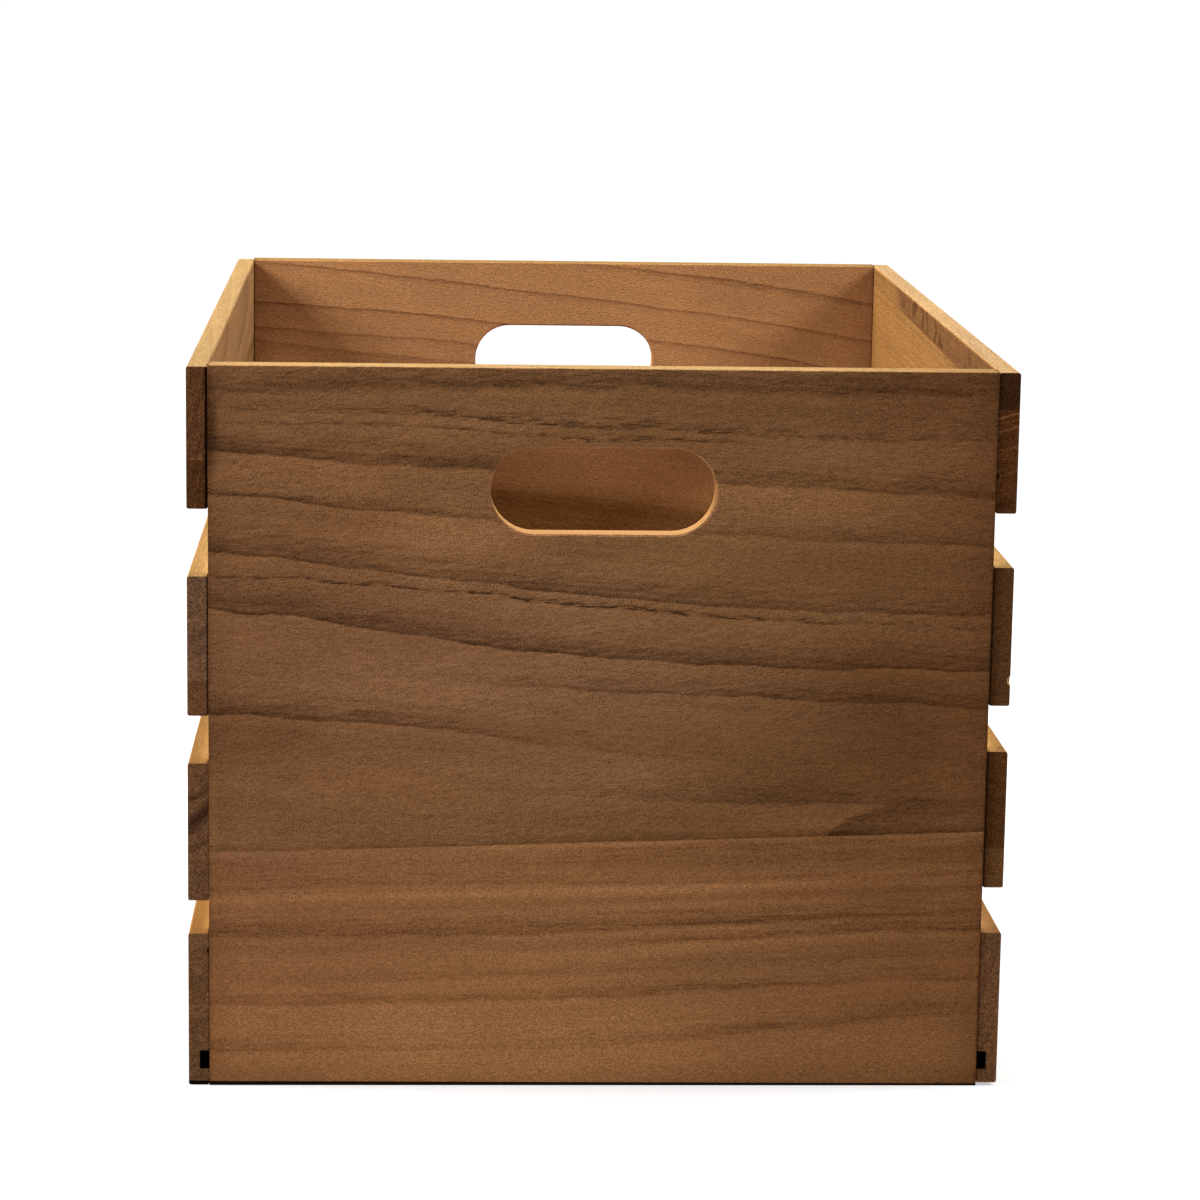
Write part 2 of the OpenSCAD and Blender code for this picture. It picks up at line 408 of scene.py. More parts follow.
def drawn_height(nodes, share, heights_mm):
    """The height in metres of a line drawn from the left to the right."""
    run = nodes.curve(share, [height / 1000 / PANEL_HEIGHT for height in heights_mm])
    return nodes.times(run, PANEL_HEIGHT)


def line(heights, dark, band, side=1, torn=0.0, rim=0.20, soft=0.9):
    """One ring line, all in mm. The dark wood is above it for side 1 and below it for -1."""
    return {"heights": heights, "dark": dark, "band": band / 1000, "side": side,
            "torn": torn, "rim": rim, "soft": soft / 1000}


def draw_line(nodes, share, height, grain, dashes, ring):
    """How dark the ring line makes each point, and how pale the spring wood just past it."""
    run = drawn_height(nodes, share, ring["heights"])
    above = nodes.times(nodes.minus(height, run), float(ring["side"]))
    if ring["torn"]:
        above = nodes.math("MULTIPLY_ADD", grain["hair"], TEAR_REACH, above)
    ragged = min(1.0, RAGGED_BAND / ring["band"])
    faded = nodes.times(above, 1.0 / ring["band"])
    faded = nodes.math("MULTIPLY_ADD", grain["streak"], 0.14 * ragged, faded)
    faded = nodes.math("MULTIPLY_ADD", grain["hair"], 0.22 * ragged, faded)
    band = nodes.math("POWER", nodes.spread(faded, -0.1, 1.05, 1.0, 0.0, smooth=False), 1.2)
    rim = nodes.spread(above, 0.0, RIM_REACH, 1.0, 0.0)
    body = nodes.plus(nodes.times(band, 1.0 - ring["rim"]), nodes.times(rim, ring["rim"]))
    body = nodes.times(body, nodes.spread(above, ring["soft"] * -0.6, ring["soft"] * 0.4))
    if ring["torn"]:
        body = nodes.times(body, nodes.spread(dashes, 0.44, 0.58, 1.0 - ring["torn"], 1.3))
    spring = nodes.spread(above, -SPRING_REACH, -SPRING_EDGE)
    spring = nodes.times(spring, nodes.spread(above, -SPRING_EDGE, 0.0, 1.0, 0.0))
    body = nodes.minus(body, nodes.times(spring, SPRING_PALENESS))
    return nodes.times(body, nodes.curve(share, ring["dark"]))


def drawn_rings(lines, waves=0.0022):
    """A recipe like rings_round_pith, but from drawn lines that share the same small waves."""
    def rings(nodes, place, grain, seed):
        share = share_of_width(nodes, place)
        wave = nodes.swing(from_block(nodes, place, (34, 26, 26), seed + 3.1), 2.0)
        ripple = nodes.swing(from_block(nodes, place, (190, 260, 260), seed + 3.7), 1.0)
        height = nodes.math("MULTIPLY_ADD", wave, waves * 0.5, place[1])
        height = nodes.math("MULTIPLY_ADD", ripple, RIPPLE_REACH, height)
        dashes = nodes.noise(from_block(nodes, place, (150, 1000, 1000), seed + 3.9), 2.0)
        total = SPRING_TONE
        for ring in lines:
            total = nodes.plus(total, draw_line(nodes, share, height, grain, dashes, ring))
        return total

    return rings


# %% [markdown]
# ## Ends, edges and arrises
#
# Stain soaks deep into the open ends of the fibres, so sawn ends are much darker than
# faces, while planed narrow edges and the routed wall of the hand hole stay paler. The
# narrow edges' tint is partly that paler wood and partly painted light and sheen, for the
# edges that face up. And sanding takes a little off every arris. All of these follow from
# the shape: an end faces along the grain, an edge faces across it, and at an arris a point
# lies close to two sides of its board at once.


# %% Masks from the shape
def normal(nodes, axis):
    """How far a surface looks along an axis, from -1 for against it to 1."""
    return nodes.split(nodes.add("ShaderNodeNewGeometry").outputs["Normal"])[AXES[axis]]


def facing(nodes, axis):
    """The same whichever way round, 0 to 1."""
    return nodes.math("ABSOLUTE", normal(nodes, axis))


def off_middle(nodes, value, middle):
    """How far a value lies from a middle, either way."""
    return nodes.math("ABSOLUTE", nodes.plus(value, -middle))


def near_arris(nodes, board, reach):
    """1 on a board's arrises and 0 at the reach, by the second smallest distance to its sides."""
    low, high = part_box(board)
    place = crate_place(nodes)
    gaps = []
    for axis in range(3):
        middle, half = (low[axis] + high[axis]) / 2, (high[axis] - low[axis]) / 2
        gaps.append(nodes.minus(half, off_middle(nodes, place[axis], middle)))
    first, second, third = gaps
    smaller = nodes.math("MINIMUM", first, second)
    larger = nodes.math("MAXIMUM", first, second)
    middle_gap = nodes.math("MAXIMUM", smaller, nodes.math("MINIMUM", larger, third))
    return nodes.spread(middle_gap, 0.0, reach, 1.0, 0.0)


# %% [markdown]
# ## Fibres on the tone
#
# Each grain pattern could be mixed in as a colour of its own. But fibres are the same
# wood in more or less light, so the patterns are added up to one factor on the board's
# tone, and a darker place also turns a little redder.

# %% Grained tone
GRIT_SHARE, FLECK_SHARE = 0.34, 0.20
CLOUD_SHARE, MOTTLE_SHARE = 0.09, 0.035
DARKEST = 0.25


def grained(nodes, tone, autumn, grain, contrast, streaky):
    """The tone made lighter and darker by the grain, more strongly in the dark autumn wood."""
    fine = nodes.times(grain["grit"], GRIT_SHARE)
    fine = nodes.plus(fine, nodes.times(grain["fleck"], FLECK_SHARE))
    fine = nodes.times(fine, nodes.spread(autumn, 0.1, 0.9, 1.0, 1.35))
    tufts = nodes.times(grain["hair"], nodes.spread(grain["mottle"], -0.5, 0.7, 0.02, 0.12))
    streaks = nodes.spread(autumn, 0.1, 0.7, 0.06 * streaky, 0.17 * streaky)
    streaks = nodes.times(grain["streak"], streaks)
    broad = nodes.times(grain["cloud"], CLOUD_SHARE)
    broad = nodes.plus(broad, nodes.times(grain["mottle"], MOTTLE_SHARE))
    broad = nodes.plus(broad, nodes.plus(tufts, streaks))
    light = nodes.plus(nodes.times(nodes.plus(fine, broad), contrast), 1.0)
    light = nodes.math("MAXIMUM", light, DARKEST)
    tint = nodes.vector(light, nodes.math("POWER", light, 1.06), nodes.math("POWER", light, 1.14))
    tone = nodes.blend(1.0, tone, tint, "MULTIPLY")
    redder = nodes.spread(grain["cloud"], -1.0, 1.0, 0.0, 1.0)
    return nodes.tinted(redder, tone, 1.0, 0.965, 0.91)


# %% [markdown]
# ## Sawn ends
#
# A sawn end is a look into cut straws: it drinks the stain, its pores are dark dots, and
# the blade leaves fine marks that slant across it. The marks are a sine wave that noise
# pushes about, because a blade never cuts quite evenly.

# %% Sawn ends
SAW_MARK_STEP = 0.0013
SAW_MARK_DEPTH, PORE_DEPTH = 0.16, 0.25


def sawn(nodes, tone, autumn, place, end, end_tint, end_rings, seed):
    """The tone on sawn ends: darker by end_tint, with clearer rings, pores and saw marks."""
    _, across, through = place
    lean = 0.66 if seed % 2 else -0.66
    slant = nodes.plus(nodes.times(across, 0.75), nodes.times(through, lean))
    uneven = nodes.noise(from_block(nodes, place, (90, 90, 90), seed + 4.3), 1.0)
    uneven = nodes.times(uneven, 6.0)
    marks = nodes.math("MULTIPLY_ADD", slant, 2 * math.pi / SAW_MARK_STEP, uneven)
    light = nodes.math("MULTIPLY_ADD", nodes.math("SINE", marks), SAW_MARK_DEPTH, 1.0)
    pores = nodes.swing(from_block(nodes, place, (700, 700, 700), seed + 4.9), 1.0)
    light = nodes.math("MULTIPLY_ADD", pores, PORE_DEPTH, light)
    in_spring, in_autumn = 1.0 + 0.20 * end_rings, 1.0 - 0.38 * end_rings
    ringed = nodes.spread(autumn, 0.0, 1.0, in_spring, in_autumn, smooth=False)
    dark = nodes.scaled(tone, nodes.times(light, ringed))
    return nodes.blend(end, tone, nodes.tinted(1.0, dark, *end_tint))


# %% [markdown]
# ## One board's finish
#
# Here the layers come together, in the order in which they formed: the rings give pale or
# dark wood, fibres and clouds shade it, the stain darkens the ends, and the sanding pales
# the arrises. The same patterns drive the sheen and the tiny relief that catches the
# light.

# %% Wood
ARRIS_REACH = 0.0014
SPRING_ROUGHNESS, AUTUMN_ROUGHNESS = 0.78, 0.66
RELIEF_HEIGHT, RELIEF_STRENGTH = 0.0002, 0.35


def sheen_and_relief(nodes, surface, grain, autumn, end):
    """Wood shines only a little, least on sawn ends, and its fibres stand out a hair's width."""
    rough = nodes.spread(autumn, 0.0, 1.0, SPRING_ROUGHNESS, AUTUMN_ROUGHNESS)
    rough = nodes.math("MULTIPLY_ADD", grain["fleck"], 0.07, rough)
    nodes.feed(surface.inputs["Roughness"], nodes.math("MULTIPLY_ADD", end, 0.15, rough))
    surface.inputs["Specular IOR Level"].default_value = 0.02
    relief = nodes.add("ShaderNodeBump")
    relief.inputs["Strength"].default_value = RELIEF_STRENGTH
    relief.inputs["Distance"].default_value = RELIEF_HEIGHT
    height = nodes.plus(grain["fleck"], nodes.times(grain["grit"], 0.5))
    nodes.feed(relief.inputs["Height"], nodes.minus(height, nodes.times(autumn, 0.8)))
    nodes.feed(surface.inputs["Normal"], relief.outputs[0])


def wood(name, board, order, seed, pale, dark, rings, climb=0.0, hair_climb=0.05, contrast=1.0,
         streaky=1.0, end_tint=(0.55, 0.50, 0.46), edge_tint_and_sheen=(0.74, 0.82, 0.48), ring_share=0.85,
         end_rings=1.0, extras=()):
    """A board's material. Each extra is a function that changes the tone in one more way."""
    material, nodes, surface = new_material(name)
    place = board_place(nodes, order)
    grain = grain_patterns(nodes, place, seed, climb, hair_climb)
    end = nodes.spread(facing(nodes, order[0]), 0.70, 0.92)
    edge = nodes.spread(facing(nodes, order[1]), 0.70, 0.92)
    autumn = nodes.math("MAXIMUM", rings(nodes, place, grain, seed), 0.0)
    autumn = nodes.math("MINIMUM", autumn, 1.2)
    seen = nodes.times(autumn, nodes.spread(edge, 0.0, 1.0, ring_share, ring_share * 0.4))
    seen_on_end = min(1.0, 0.3 + 0.7 * end_rings)
    seen = nodes.times(seen, nodes.spread(end, 0.0, 1.0, 1.0, seen_on_end))
    tone = nodes.blend(seen, shade(*pale), shade(*dark))
    tone = grained(nodes, tone, seen, grain, contrast, streaky)
    # Narrow edges: partly paler planed wood, partly painted light and sheen.
    tone = nodes.tinted(edge, tone, *edge_tint_and_sheen)
    tone = sawn(nodes, tone, autumn, place, end, end_tint, end_rings, seed)
    sanded = nodes.spread(grain["streak"], -0.6, 0.6, 0.1, 0.5)
    worn = nodes.times(near_arris(nodes, board, ARRIS_REACH), sanded)
    tone = nodes.tinted(worn, tone, 1.30, 1.30, 1.28)
    for extra in extras:
        tone = extra(nodes, tone, place, end)
    nodes.feed(surface.inputs["Base Color"], tone)
    sheen_and_relief(nodes, surface, grain, autumn, end)
    return material


def finish_board(board, material):
    """Gives a board its material in every slot it has."""
    for slot in boards[board].material_slots:
        slot.material = material


# %% [markdown]
# ## Hand hole, soaked ends, painted joint shadow and contact shadow
#
# Round the hand hole the router left bare wood. The last centimetre of a panel, where it
# meets the slats, took up more stain, and its arris is painted nearly black as the shadow
# in the joint. The arris that stands on the table is painted dark as its contact shadow.
# All this is only skin deep, so each is an extra: a small function that changes the
# board's tone in one place.

# %% Extras of the end panels
HOLE_MIDDLE = (0.0, 0.2625)
HOLE_HALF = (0.0500, 0.0205)
SOAKED_AND_SHADED = [
    (0.152, 0.1675, (0.86, 0.84, 0.82)),
    (0.1655, 0.1672, (0.78, 0.75, 0.72)),
    # The last, nearly black step is painted shadow of the joint with the slats, not stain.
    (0.1669, 0.1674, (0.45, 0.42, 0.40)),
]
CONTACT_SHADOW_LEFT, CONTACT_SHADOW_RIGHT = 0.0020, 0.0011


def bare_hole_wall(nodes, tone, place, end):
    """The routed wall of the hand hole has kept the wood's own pale colour."""
    wall = nodes.spread(facing(nodes, "Y"), 0.25, 0.60, 1.0, 0.0)
    for value, middle, half in zip(place, HOLE_MIDDLE, HOLE_HALF):
        in_hole = nodes.math("LESS_THAN", off_middle(nodes, value, middle), half)
        wall = nodes.times(wall, in_hole)
    return nodes.blend(nodes.times(wall, 0.80), tone, shade(188, 139, 85))


def soaked_ends_and_joint_shade(nodes, tone, place, end):
    """Three steps of darkening, each between two distances from the panel's middle: stain in the
    first two, painted joint shadow in the nearly black last one.
    """
    from_middle = nodes.math("ABSOLUTE", place[0])
    for starts, full, tint in SOAKED_AND_SHADED:
        tone = nodes.tinted(nodes.spread(from_middle, starts, full), tone, *tint)
    return tone


def painted_contact_shadow(nodes, tone, place, end):
    """Painted contact shadow along the arris that stands on the table, a little higher on the left
    than on the right.
    """
    to_right, _, height = crate_place(nodes)
    reach = nodes.spread(to_right, -0.17, 0.17, CONTACT_SHADOW_LEFT, CONTACT_SHADOW_RIGHT, smooth=False)
    # Painted contact shadow: the lowest millimetre or two of the board turns nearly black.
    contact_shadow = nodes.spread(nodes.minus(height, reach), -0.0002, 0.0002, 1.0, 0.0)
    return nodes.tinted(contact_shadow, tone, 0.04, 0.04, 0.04)


def only_towards_front(extra):
    """The same extra, but only on the face that looks to the front of the crate."""
    def limited(nodes, tone, place, end):
        share = nodes.spread(normal(nodes, "Y"), -0.7, -0.3, 1.0, 0.0)
        return nodes.blend(share, tone, extra(nodes, tone, place, end))
    return limited


# %% [markdown]
# ## Patches and bands of tone
#
# No board takes stain evenly. More noise would give it clouds, but anywhere. The ones
# that an eye would miss are laid one by one instead: a slow change from
# left to right, soft oval patches, and soft bands that run along with the rings.


# %% Tone along, patches and bands
def tone_along(*stops):
    """A board that is paler in some places than in others, from its left side to its right."""
    def shaded(nodes, tone, place, end):
        drift = nodes.minus(nodes.noise(from_block(nodes, place, (7, 22, 22), 5.3), 1.0), 0.5)
        ramp = nodes.add("ShaderNodeValToRGB")
        marks = ramp.color_ramp.elements
        while len(marks) < len(stops):
            marks.new(0.5)
        for i, (mark, stop) in enumerate(zip(marks, stops)):
            mark.position = i / (len(stops) - 1)
            mark.color = (*stop, 1.0)
        share = nodes.math("MULTIPLY_ADD", drift, 0.5, share_of_width(nodes, place))
        nodes.feed(ramp.inputs[0], share)
        return nodes.blend(1.0, tone, ramp.outputs[0], "MULTIPLY")
    return shaded


def soft_spots(*spots):
    """Patches: middle to the right and up in mm, half width and half height in mm, tint."""
    def patchy(nodes, tone, place, end):
        for x, z, half_width, half_height, tint in spots:
            side = nodes.math("MULTIPLY_ADD", place[0], 1000 / half_width, -x / half_width)
            up = nodes.math("MULTIPLY_ADD", place[1], 1000 / half_height, -z / half_height)
            share = nodes.spread(nodes.length(nodes.vector(side, up, 0.0)), 0.2, 1.4, 1.0, 0.0)
            tone = nodes.tinted(share, tone, *tint)
        return tone
    return patchy


def soft_bands(*bands):
    """Bands: heights in mm and strengths from left to right, half width in mm, tint."""
    def banded(nodes, tone, place, end):
        share = share_of_width(nodes, place)
        for heights, strengths, half, tint in bands:
            off = nodes.minus(place[1], drawn_height(nodes, share, heights))
            off = nodes.math("ABSOLUTE", off)
            near = nodes.spread(off, half * 0.0003, half * 0.0016, 1.0, 0.0)
            tone = nodes.tinted(nodes.times(near, nodes.curve(share, strengths)), tone, *tint)
        return tone
    return banded


# %% [markdown]
# ## The front panel's upper board
#
# Two boards glued edge to edge make the panel. The upper one shows broad rings that run
# downhill to the right in long waves, three of them torn into dashes. The last line is
# the glue line. Above it at the right, a long tongue of autumn wood comes in from the
# side.

# %% Front panel, upper board
PANEL_END_TINT = (0.95, 0.9, 0.85)
FRONT_UPPER_LINES = [
    line((303, 306, 307, 306, 305), (0.35, 0.70, 0.80, 0.70, 0.60), 15, rim=0.0, soft=6),
    line((297, 294, 290, 286, 286), (0.30, 0.70, 0.80, 0.60, 0.50), 6, torn=0.7),
    line((291, 289, 285, 282, 280), (0.30, 0.60, 0.80, 0.20, 0.00), 2, torn=0.6, rim=0.6),
    line((279, 273, 268, 265, 261), (1.00, 0.85, 0.80, 0.60, 0.60), 10, rim=0.05, soft=2.2),
    line((260, 253, 246, 243, 239), (0.75, 0.65, 0.20, 0.42, 0.45), 7),
    line((235, 227, 217, 212, 210), (0.75, 0.80, 0.75, 0.60, 0.45), 13),
    line((224, 221, 212, 207, 204), (0.20, 0.95, 1.00, 0.70, 0.40), 3.5, torn=0.85, rim=0.5),
    line((210.5, 207, 201, 194.5, 190.5, 188.5, 186.5, 186.5, 185),
         (0.95, 0.88, 0.82, 0.80, 0.85), 14),
    line((188, 181, 176, 173, 169), (0.00, 0.10, 0.50, 0.60, 0.45), 6, rim=0.1),
    line((165, 160, 150, 142, 136), (0.70, 0.65, 0.25, 0.00, 0.00), 11, rim=0.1),
    line((140, 134, 129, 126.5, 129), (0.20, 0.10, 0.20, 0.50, 0.05), 9, rim=0.0, soft=2),
    line((96,) * 12 + (98, 117, 126, 128, 129), (0, 0, 0, 0.65, 0.32), 60, side=-1, rim=0.0,
         soft=4),
    line((104.0, 106.6, 109.2, 111.9, 114.5), (0.30,) * 5, 1.5, rim=0.5, soft=0.4),
]
FRONT_UPPER_SPOTS = [
    (-64, 240, 38, 20, (1.28, 1.29, 1.30)), (80, 260, 55, 13, (1.24, 1.25, 1.20)),
    (-120, 268, 60, 12, (1.18, 1.18, 1.16)), (-90, 177, 60, 16, (1.12, 1.14, 1.14)),
    (130, 174, 50, 28, (0.73, 0.68, 0.60)), (0, 154, 170, 12, (0.85, 0.84, 0.84)),
    (5, 284, 55, 12, (0.86, 0.83, 0.81)), (115, 229, 75, 14, (0.88, 0.87, 0.86)),
    (0, 237, 45, 8, (0.84, 0.83, 0.82)), (75, 172, 70, 26, (0.88, 0.87, 0.88)),
    (103, 138, 76, 17, (0.77, 0.75, 0.68)), (-150, 157, 32, 18, (0.86, 0.84, 0.80)),
    (30, 300, 60, 7, (0.83, 0.80, 0.75)), (125, 281, 55, 9, (1.12, 1.14, 1.22)),
    (25, 117, 62, 11, (0.78, 0.76, 0.74)), (-148, 118, 32, 14, (0.89, 0.92, 0.93)),
    (106, 113.5, 14, 3, (0.78, 0.76, 0.74)), (-60, 185, 110, 45, (1.00, 1.02, 1.12)),
    # Painted shadow on the panel's left side beside the left top slat, then a lift of the painted
    # joint shade beside the left third slat.
    (-167, 287, 4, 24, (0.45, 0.42, 0.40)), (-167, 112, 4, 28, (1.25, 1.25, 1.25)),
]
DARK_ABOVE_GLUE = ((105.5, 108, 111, 113, 115.5), (0.8, 0.3, 0.9, 0.9, 0.7), 2.2,
                   (0.76, 0.75, 0.70))
finish_board("front_upper_board", wood(
    "front_upper_wood", "front_upper_board", "XZY", 1, (173, 124, 82), (82, 53, 31),
    drawn_rings(FRONT_UPPER_LINES), climb=-0.075, hair_climb=0.15, end_tint=PANEL_END_TINT,
    edge_tint_and_sheen=(0.76, 0.98, 0.88),
    extras=(tone_along((0.82, 0.79, 0.80), (0.88, 0.85, 0.84), (1.0, 1.0, 1.0),
                       (0.85, 0.83, 0.81), (0.69, 0.62, 0.56)),
            soft_spots(*FRONT_UPPER_SPOTS), soft_bands(DARK_ABOVE_GLUE),
            bare_hole_wall, soaked_ends_and_joint_shade)))
print("front upper board:", len(FRONT_UPPER_LINES), "lines,", len(FRONT_UPPER_SPOTS), "patches")

# %% [markdown]
# ## The front panel's lower board
#
# The lower board is straight grained and a touch paler, partly as painted light for the glow
# that the white table throws up on it. Its streaks follow the glue line, which climbs a
# little to the right, so most of them are soft bands and not ring lines.

# %% Front panel, lower board
FRONT_LOWER_LINES = [
    line((102, 105, 107, 110, 113), (0.30, 0.25, 0.40, 0.45, 0.35), 11, side=-1, rim=0.0,
         soft=3),
    line((87, 90, 91, 92, 97), (0.30, 0.35, 0.35, 0.50, 0.50), 5, rim=0.0, soft=2),
    line((67, 68, 70, 75, 77), (0.55, 0.60, 0.75, 0.70, 0.50), 9, rim=0.0, soft=3),
    line((60, 61, 63, 68, 70), (0.15, 0.20, 0.30, 0.60, 0.70), 7, rim=0.0, soft=3),
    line((47, 48, 51, 56, 60), (0.15, 0.25, 0.30, 0.20, 0.15), 7, rim=0.0, soft=4),
    line((36, 37, 40, 45.5, 49), (0.65, 0.50, 0.55, 0.55, 0.45), 6, rim=0.0, soft=3),
    line((15, 16, 18, 26, 34), (0.50, 0.35, 0.25, 0.60, 0.40), 8, rim=0.0, soft=4),
]
FRONT_LOWER_SPOTS = [
    (0, 78, 400, 48, (0.86, 0.86, 0.88)), (-30, 10, 95, 24, (1.12, 1.12, 1.12)),
    (125, 14, 45, 16, (1.12, 1.12, 1.10)), (75, 52, 90, 18, (0.90, 0.90, 0.91)),
    (-110, 50, 60, 45, (0.95, 0.94, 0.96)), (-85, 26, 35, 13, (1.13, 1.14, 1.20)),
    (158, 3, 24, 6, (0.78, 0.77, 0.72)), (-145, 5, 30, 8, (0.88, 0.88, 0.86)),
    (-148, 100, 28, 18, (0.88, 0.90, 0.97)),
]
FRONT_LOWER_BANDS = [
    ((101.5, 103.5, 107, 109.5, 112), (0.7, 0.7, 0.2, 0.1, 0.3), 2.0, (1.20, 1.24, 1.34)),
    ((58, 58, 59, 67, 70), (0.0, 0.0, 0.6, 1.0, 0.0), 3.0, (1.19, 1.19, 1.15)),
    ((96, 97, 99.5, 102.5, 104.5), (0.0, 0.2, 0.8, 0.9, 0.8), 4.0, (0.82, 0.82, 0.80)),
    ((83, 85.5, 88, 92, 100), (0.9, 0.9, 0.7, 0.9, 0.9), 1.6, (1.20, 1.21, 1.20)),
    ((78, 80, 83, 86.5, 89.5), (0.2, 0.3, 0.6, 0.8, 0.9), 1.8, (0.80, 0.79, 0.77)),
]
finish_board("front_lower_board", wood(
    "front_lower_wood", "front_lower_board", "XZY", 2, (197, 140, 90), (125, 81, 46),
    drawn_rings(FRONT_LOWER_LINES, 0.0018), climb=0.03, hair_climb=0.04, contrast=0.8,
    end_tint=PANEL_END_TINT,
    extras=(tone_along((0.84, 0.80, 0.80), (0.94, 0.93, 0.93), (1.0, 1.0, 1.0),
                       (0.84, 0.81, 0.80), (0.68, 0.63, 0.60)),
            soft_spots(*FRONT_LOWER_SPOTS), soft_bands(*FRONT_LOWER_BANDS),
            soaked_ends_and_joint_shade, painted_contact_shadow)))
print("front lower board:", len(FRONT_LOWER_LINES), "lines,", len(FRONT_LOWER_BANDS), "bands")

# %% [markdown]
# ## The back panel
#
# The camera sees its inner face over the front panel's rim: thin dark lines that run
# downhill to the right on warm wood, with the dark wood below each line, because this
# board was turned the other way up. Through the hand hole one more band shows, over a
# broad soft band of painted shade for the light that fades deeper inside the crate; it
# shows on the outer face too. The patches are on this inner face only.

# %% Back panel
BACK_UPPER_LINES = [
    line((330, 322, 316, 307.5, 294.5), (0.0, 0.0, 0.45, 0.75, 0.60), 5, side=-1),
    line((314.5, 306.5, 297.5, 287.5, 274.5), (0.60, 0.75, 0.70, 0.60, 0.70), 4, side=-1, rim=0.6),
    line((292.5, 287, 278.5, 269.5, 256), (0.75, 0.75, 0.60, 0.70, 0.70), 5, side=-1, rim=0.6),
    line((278.7, 273.5, 266, 257, 246), (0.55, 0.50, 0.40, 0.40, 0.50), 4, side=-1, rim=0.4),
    line((271.5, 263.5, 255, 246, 236), (0.40, 0.40, 0.30, 0.50, 0.50), 8, side=-1),
    # Painted shade: a broad soft band for the light that fades deeper inside the crate, seen
    # through the hand hole; it darkens the outer face too.
    line((248, 242, 238, 232, 226), (0.72,) * 5, 90, side=-1, rim=0.0, soft=6),
    line((205, 196.5, 188, 179, 171), (1.0, 0.95, 0.90, 0.80, 0.75), 60, side=-1, rim=0.0,
         soft=15),
    line((150, 143, 136, 131, 125), (0.60, 0.60, 0.55, 0.50, 0.50), 12, side=-1),
]
BACK_LOWER_LINES = [
    line((100, 101, 99, 97, 95), (0.55, 0.55, 0.55, 0.55, 0.50), 9),
    line((74, 76, 75, 72, 70), (0.60, 0.60, 0.50, 0.60, 0.60), 12),
    line((41, 42, 41, 39, 36), (0.60, 0.50, 0.60, 0.60, 0.60), 10),
    line((18, 17, 15, 14, 14), (0.40, 0.50, 0.40, 0.30, 0.40), 8),
]
BACK_SPOTS = [
    (-30, 176, 120, 17, (1.11, 1.25, 0.90)),
    (130, 290, 60, 50, (0.88, 0.88, 0.88)),
    (-45, 205, 45, 12, (0.86, 0.86, 0.78)),
]
finish_board("back_upper_board", wood(
    "back_upper_wood", "back_upper_board", "XZY", 3, (161, 117, 77), (91, 57, 33),
    drawn_rings(BACK_UPPER_LINES, 0.0012), climb=-0.12, hair_climb=-0.12, contrast=0.8,
    streaky=0.3, end_tint=PANEL_END_TINT, edge_tint_and_sheen=(0.48, 0.54, 0.38),
    extras=(only_towards_front(soft_spots(*BACK_SPOTS)), bare_hole_wall, soaked_ends_and_joint_shade)))
finish_board("back_lower_board", wood(
    "back_lower_wood", "back_lower_board", "XZY", 4, (163, 117, 77), (108, 71, 43),
    drawn_rings(BACK_LOWER_LINES), end_tint=PANEL_END_TINT, extras=(soaked_ends_and_joint_shade, painted_contact_shadow)))
print("back panel lines", len(BACK_UPPER_LINES), "and", len(BACK_LOWER_LINES))

# %% [markdown]
# ## Joints, nails and the groove
#
# Where a slat's end meets the panel, the shadow in the joint is painted on: a thin black
# line with soft painted shade beside it. Two slats have a nick there, where a brad has
# split the edge, painted nearly black as the shade inside it. The groove for the floor is
# really cut into the bottom slats, but stray light would still show inside its open end,
# so its walls are painted dark.

# %% Extras at the joints
SLAT_INNER_FACE = 0.1675
GROOVE_MIDDLE_HEIGHT = 0.01155
GROOVE_HALF_HEIGHT = 0.0041
GROOVE_DEPTH = 0.0043


def past_joint(nodes, place):
    """How far outside the joint with the panel a slat's point lies, in metres."""
    return nodes.minus(nodes.math("ABSOLUTE", place[2]), SLAT_INNER_FACE)


def painted_joint_shadow(width, strength, fade=0.0, reach=3.5):
    """Painted shadow between a slat's end and the panel: a black line some mm wide with a soft
    painted shade beside it.
    """
    def joint(nodes, tone, place, end):
        gap = nodes.times(past_joint(nodes, place), 1000.0)
        shade_beside_gap = nodes.times(nodes.spread(gap, 0.0, reach, fade, 0.0), end)
        # Painted shade beside the gap, then the painted black line of the gap itself.
        tone = nodes.tinted(shade_beside_gap, tone, 0.30, 0.28, 0.26)
        gap_shadow = nodes.times(nodes.spread(gap, width * 0.5, width * 1.3, strength, 0.0), end)
        return nodes.tinted(gap_shadow, tone, 0.06, 0.05, 0.04)
    return joint


def nail_nick(height):
    """A spot on the joint, at a height in metres, where a brad has split the edge, painted nearly
    black as the shade inside the split.
    """
    def nick(nodes, tone, place, end):
        outward = nodes.minus(past_joint(nodes, place), 0.0001)
        off = nodes.vector(outward, nodes.plus(place[1], -height), 0.0)
        spot = nodes.spread(nodes.length(off), 0.0008, 0.0014, 1.0, 0.0)
        # The split is only painted: a nearly black spot of painted shade.
        return nodes.tinted(nodes.times(spot, end), tone, 0.08, 0.08, 0.08)
    return nick


def dark_groove(nodes, tone, place, end):
    """The open end of the groove for the floor, where hardly any light gets in."""
    off = off_middle(nodes, place[1], GROOVE_MIDDLE_HEIGHT)
    inside = nodes.math("LESS_THAN", off, GROOVE_HALF_HEIGHT)
    deep = nodes.math("LESS_THAN", past_joint(nodes, place), GROOVE_DEPTH)
    return nodes.tinted(nodes.times(inside, deep), tone, 0.05, 0.05, 0.05)


